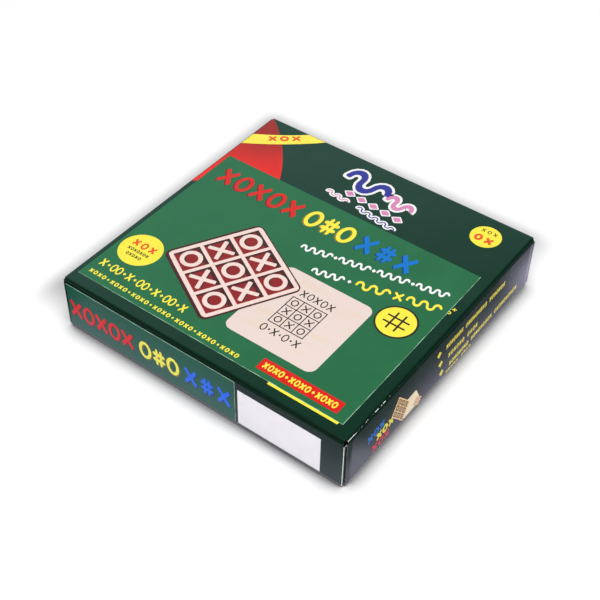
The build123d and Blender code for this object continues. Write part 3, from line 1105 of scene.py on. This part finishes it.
class CARTON_OT_print_end(bpy.types.Operator):
    """Print both end panels alike: lozenges, rows of marks, a small board and three short rows"""

    bl_idname = "carton.print_end"
    bl_label = "Print the ends"

    def execute(self, context):
        for side in ("right", "left"):
            self.print_rows(f"{side} end", f"{side}_end")
            self.print_picture(f"{side} end", f"{side}_end")
        return {"FINISHED"}

    def print_rows(self, surface, name):
        """Print three lozenges, four yellow rows and three short rows in colour."""
        places = ((71.0, 20.3), (73.5, 12.3), (75.4, 4.9))
        lozenges = [(".", Vector(place), 0.0) for place in places]
        print_on(surface, stamp(lozenges, 0, 0, 1.7), f"{name}_lozenges", 1, "yellow")
        fine = (1.9, 3.4, 0.6)
        bold = (4.2, 5.2, 1.3)
        upper = "xoxoxox oxoxoxoxo xoxoxox"
        lower = "xoxoxoxo xoxoxoxox oxoxoxoxox"
        # Name, layer, ink, size of a mark and row: the fold cuts the lowest yellow one
        rows = (
            ("row_1", 1, "yellow", fine, (upper, (77.8, 20.3), (128.4, 20.3))),
            ("row_2", 1, "yellow", fine, ("xoxoxo oxox", (81.0, 12.2), (105.0, 11.8))),
            ("row_3", 1, "yellow", (1.9, 3.2, 0.6), (lower, (83.0, 5.0), (143.0, 7.2))),
            ("row_4", 1, "yellow", (1.9, 1.5, 0.6), ("xoxox xoxo", (80.6, 1.3), (101.0, 1.3))),
            ("marks_blue", 2, "blue", bold, ("xox", (17.2, 14.6), (26.0, 15.6))),
            ("marks_yellow", 2, "yellow", bold, ("xox", (24.4, 10.3), (33.4, 10.9))),
            ("marks_red", 2, "red", bold, ("xox", (21.4, 5.0), (30.6, 5.2))),
        )
        for part, layer, ink, size, marks in rows:
            print_marks(surface, f"{name}_{part}", layer, ink, size, marks)

    def print_picture(self, surface, name):
        """Print the small picture: a base board, a lid over it and a game board over both."""
        side = 11.8
        pitch = 3.6
        slanted = (21.3, (0.78, 1.31), 27.6, (40.8, 11.9))
        lid = (-25.0, (0.78, 1.32), 40.8, (48.9, 7.4))
        marks = stamp(nine_places(0, 0, pitch), 2.0, 2.0, 0.4)
        # Name, layer, ink and piece
        pieces = (
            ("base", 2, "tan", put(tile(6.0, 4.6, 0.5), 55.2, 4.1, -38)),
            ("lid", 1, "ivory", self.slant(tile(15.4, 9.8, 0.5), *lid)),
            ("back", 3, "brown", self.slant(tile(side, side, 0.6), *slanted)),
            ("frame", 4, "sand", self.slant(lattice(side, 3, 0.6, 0.8, 0.5), *slanted)),
            ("marks", 4, "sand", self.slant(marks, *slanted)),
        )
        for part, layer, ink, piece in pieces:
            print_on(surface, piece, f"{name}_picture_{part}", layer, ink)

    def slant(self, piece, first_turn, scales, second_turn, place):
        """Draw a flat piece as seen at a slant: turn it, squeeze and stretch it, turn it again."""
        put(piece, 0, 0, first_turn)
        piece.scale = (*scales, 1)
        return put(settle(piece), *place, second_turn)


class CARTON_OT_studio(bpy.types.Operator):
    """Build the pale floor, the soft light, the white room and the camera"""

    bl_idname = "carton.studio"
    bl_label = "Build the studio"

    def execute(self, context):
        studio = context.scene.carton_studio
        self.add_floor(studio)
        self.light_room(context.scene, studio)
        self.add_softbox(studio)
        bpy.ops.object.camera_add(location=studio.camera_place, rotation=studio.camera_turn)
        camera = context.object
        camera.name = "camera"
        camera.data.lens = studio.lens
        camera.data.sensor_width = 36
        camera.data.clip_start = 10 * MM
        context.scene.camera = camera
        context.scene.view_settings.view_transform = "Standard"
        return {"FINISHED"}

    def add_floor(self, studio):
        """A white table under the carton, plain white to the camera but for painted shadows, with a
        painted glow, uneven by place, in gloss.
        """
        glow_strength = 1.2
        glow_share = 0.45
        below = (0, 0, cad_box[0].z - 0.05 * MM)
        bpy.ops.mesh.primitive_plane_add(size=studio.floor_side, location=below)
        floor = bpy.context.object
        floor.name = "floor"
        material, add, place, _ = new_material("white laminate table")
        where = add("SeparateXYZ", place).outputs

        # Painted shadows: the table's colour is darkened near the carton, by its occlusion and by
        # place
        share = self.open_share(add, where)
        colour = add("Mix.RGBA", share, (0.0, 0.0, 0.004), (0.92, 0.92, 0.93))
        paint = add("BsdfDiffuse", colour)
        glow = add("Emission", colour, glow_strength)
        # Painted reflection: to mirrored rays the table glows, unevenly by place, in place of light
        # from the lamps
        mirrored = add("Emission", studio.table_tint, self.painted_gloss_glow(add, place, where))
        rays = add("LightPath").outputs
        seen = add("Math.MAXIMUM", rays["Is Camera Ray"], rays["Is Transmission Ray"])
        plain = add("MixShader", add("Math.MULTIPLY", seen, glow_share), paint, glow)
        add("OutputMaterial", add("MixShader", rays["Is Glossy Ray"], plain, mirrored))
        floor.data.materials.append(material)

    def painted_gloss_glow(self, add, place, where):
        """Strength of the table's painted glow, seen only in gloss: most along the carton's foot, and
        again at two corners.

        The glow is set by place on the table, not by the lamps, so the panels mirror a table that
        falls off into the dim room, and the two right-hand corners mirror a wider glowing part.
        """
        reach = 5.7 * MM
        foot_light = 0.94
        outside = add("VectorMath.SUBTRACT", add("VectorMath.ABSOLUTE", place), cad_box[1])
        outside = add("SeparateXYZ", outside).outputs
        away = add("Math.MAXIMUM", outside["X"], add("Math.MULTIPLY", outside["Y"], 0.30))
        fall = add("Math.EXPONENT", add("Math.DIVIDE", away, -reach))
        along_foot = add("Math.MINIMUM", add("Math.MULTIPLY", fall, foot_light), foot_light)
        right_half = add("MapRange.SMOOTHSTEP", where["X"], 66 * MM, 82 * MM)
        # Where along Y each corner's painted glow starts and is full, the reach of that glow, and its
        # near and far strength
        corners = (
            (-48, -64, 7.5, 11.5, 0.95, 0.25),
            (60, 92, 3, 12.5, 1.65, 0.2),
        )
        lit = along_foot
        for start, full, near, far, bright, dim in corners:
            share = add("MapRange.SMOOTHSTEP", where["Y"], start * MM, full * MM)
            share = add("Math.MULTIPLY", share, right_half)
            light = add("MapRange.SMOOTHSTEP", away, near * MM, far * MM, bright, dim)
            lit = add("Math.MULTIPLY_ADD", share, add("Math.SUBTRACT", light, along_foot), lit)
        return lit

    def open_share(self, add, where):
        """How white the table is painted: a painted contact shadow darkens a soft line at the carton's
        foot, and a painted cast shadow greys the table beside it.

        The painted cast shadow lies behind the carton and left of it, and fades out to the front and
        right.
        """
        low, high = cad_box
        shade_depth = 0.50
        contact_width = 11 * MM
        # Axis, and where the shade starts and is full
        edges = (
            ("X", low.x - 34 * MM, low.x - 21 * MM),
            ("X", high.x + 4 * MM, high.x - 20 * MM),
            ("Y", high.y + 42 * MM, high.y + 27 * MM),
            ("Y", low.y - 4 * MM, low.y + 20 * MM),
        )
        # Painted cast shadow: a soft grey rectangle set by place on the table, not cast by the softbox
        painted_cast_shade = shade_depth
        for axis, start, full in edges:
            edge = add("MapRange.SMOOTHSTEP", where[axis], start, full)
            painted_cast_shade = add("Math.MULTIPLY", edge, painted_cast_shade)
        # Painted contact shadow: the table's colour darkens with its ambient occlusion at the carton's
        # foot
        painted_contact_shadow = add("AmbientOcclusion", named={"Distance": contact_width}, samples=12)
        painted_contact_shadow = add("Math.MULTIPLY_ADD", painted_contact_shadow.outputs["AO"], 2.3, -1.15)
        painted_contact_shadow = add("Math.MAXIMUM", painted_contact_shadow, 0.0)
        painted_contact_shadow = add("Math.MULTIPLY_ADD", add("Math.POWER", painted_contact_shadow, 0.55), 0.85, 0.15)
        painted_contact_shadow = add("Math.MINIMUM", painted_contact_shadow, 1.0)
        return add("Math.MULTIPLY", painted_contact_shadow, add("Math.SUBTRACT", 1.0, painted_cast_shade))

    def light_room(self, scene, studio):
        """White to the camera, even fill for matt, and in gloss a tinted ceiling that dims overhead.

        It dims as a mirrored ray rises, and sooner where the ray leans to the right or the front.
        """
        world = scene.world or bpy.data.worlds.new("room")
        scene.world = world
        world.use_nodes = True
        world.node_tree.nodes.clear()
        add = partial(add_node, world.node_tree)
        rays = add("LightPath").outputs
        toward = add("SeparateXYZ", add("TexCoord").outputs["Generated"]).outputs
        rise = add("Math.MULTIPLY_ADD", toward["X"], 0.36, toward["Z"])
        forward = add("Math.MAXIMUM", add("Math.MULTIPLY", toward["Y"], -0.5), 0.0)
        rise = add("Math.ADD", rise, forward)
        overhead = add("MapRange.SMOOTHSTEP", rise, 0.46, 0.66, 0.85, 0.03)
        low_wall = add("MapRange.SMOOTHSTEP", toward["Z"], 0.05, 0.5, 0.3, 1.0)
        overhead = add("Math.MULTIPLY", overhead, low_wall)
        seen = add("Math.MAXIMUM", rays["Is Camera Ray"], rays["Is Transmission Ray"])
        glossy = rays["Is Glossy Ray"]
        strength = add("Mix.FLOAT", seen, add("Mix.FLOAT", glossy, studio.fill, overhead), 1.0)
        colour = add("Mix.RGBA", glossy, (1, 1, 1), studio.ceiling_tint)
        add("OutputWorld", add("Background", colour, strength))

    def add_softbox(self, studio):
        """One large softbox overhead, out of the line in which the top panel mirrors the room."""
        side = 0.9
        bpy.ops.object.light_add(type="AREA", location=(0.35, -0.30, 1.15))
        lamp = bpy.context.object
        lamp.name = "softbox"
        lamp.data.energy = studio.softbox_power
        lamp.data.shape = "SQUARE"
        lamp.data.size = side
        lamp.rotation_euler = (-lamp.location).to_track_quat("-Z", "Y").to_euler()


class CARTON_PT_panel(bpy.types.Panel):
    """Sidebar panel with the finishing steps in their order"""

    bl_idname = "CARTON_PT_panel"
    bl_label = "Carton"
    bl_space_type = "VIEW_3D"
    bl_region_type = "UI"
    bl_category = "Carton"

    def draw(self, context):
        for operator in OPERATORS:
            self.layout.operator(operator.bl_idname)


OPERATORS = (
    CARTON_OT_studio,
    CARTON_OT_finish_board,
    CARTON_OT_finish_labels,
    CARTON_OT_finish_wood,
    CARTON_OT_print_title,
    CARTON_OT_print_rows,
    CARTON_OT_print_discs,
    CARTON_OT_print_lid_picture,
    CARTON_OT_print_board_picture,
    CARTON_OT_print_bars,
    CARTON_OT_print_emblem,
    CARTON_OT_print_end,
)
GROUPS = {
    "carton_colours": CartonColours,
    "carton_inks": CartonInks,
    "carton_sizes": CartonSizes,
    "carton_studio": CartonStudio,
}


def register():
    """Register the settings, the steps and the panel."""
    for group in GROUPS.values():
        bpy.utils.register_class(group)
    for name, group in GROUPS.items():
        setattr(bpy.types.Scene, name, bpy.props.PointerProperty(type=group))
    for operator in OPERATORS:
        bpy.utils.register_class(operator)
    bpy.utils.register_class(CARTON_PT_panel)


def unregister():
    """Take the panel, the steps and the settings out again."""
    bpy.utils.unregister_class(CARTON_PT_panel)
    for operator in reversed(OPERATORS):
        bpy.utils.unregister_class(operator)
    for name, group in reversed(GROUPS.items()):
        delattr(bpy.types.Scene, name)
        bpy.utils.unregister_class(group)


def main():
    """Run every step in order."""
    register()
    bpy.ops.object.select_all(action="DESELECT")
    for operator in OPERATORS:
        module, name = operator.bl_idname.split(".")
        getattr(getattr(bpy.ops, module), name)()


if __name__ == "__main__":
    main()
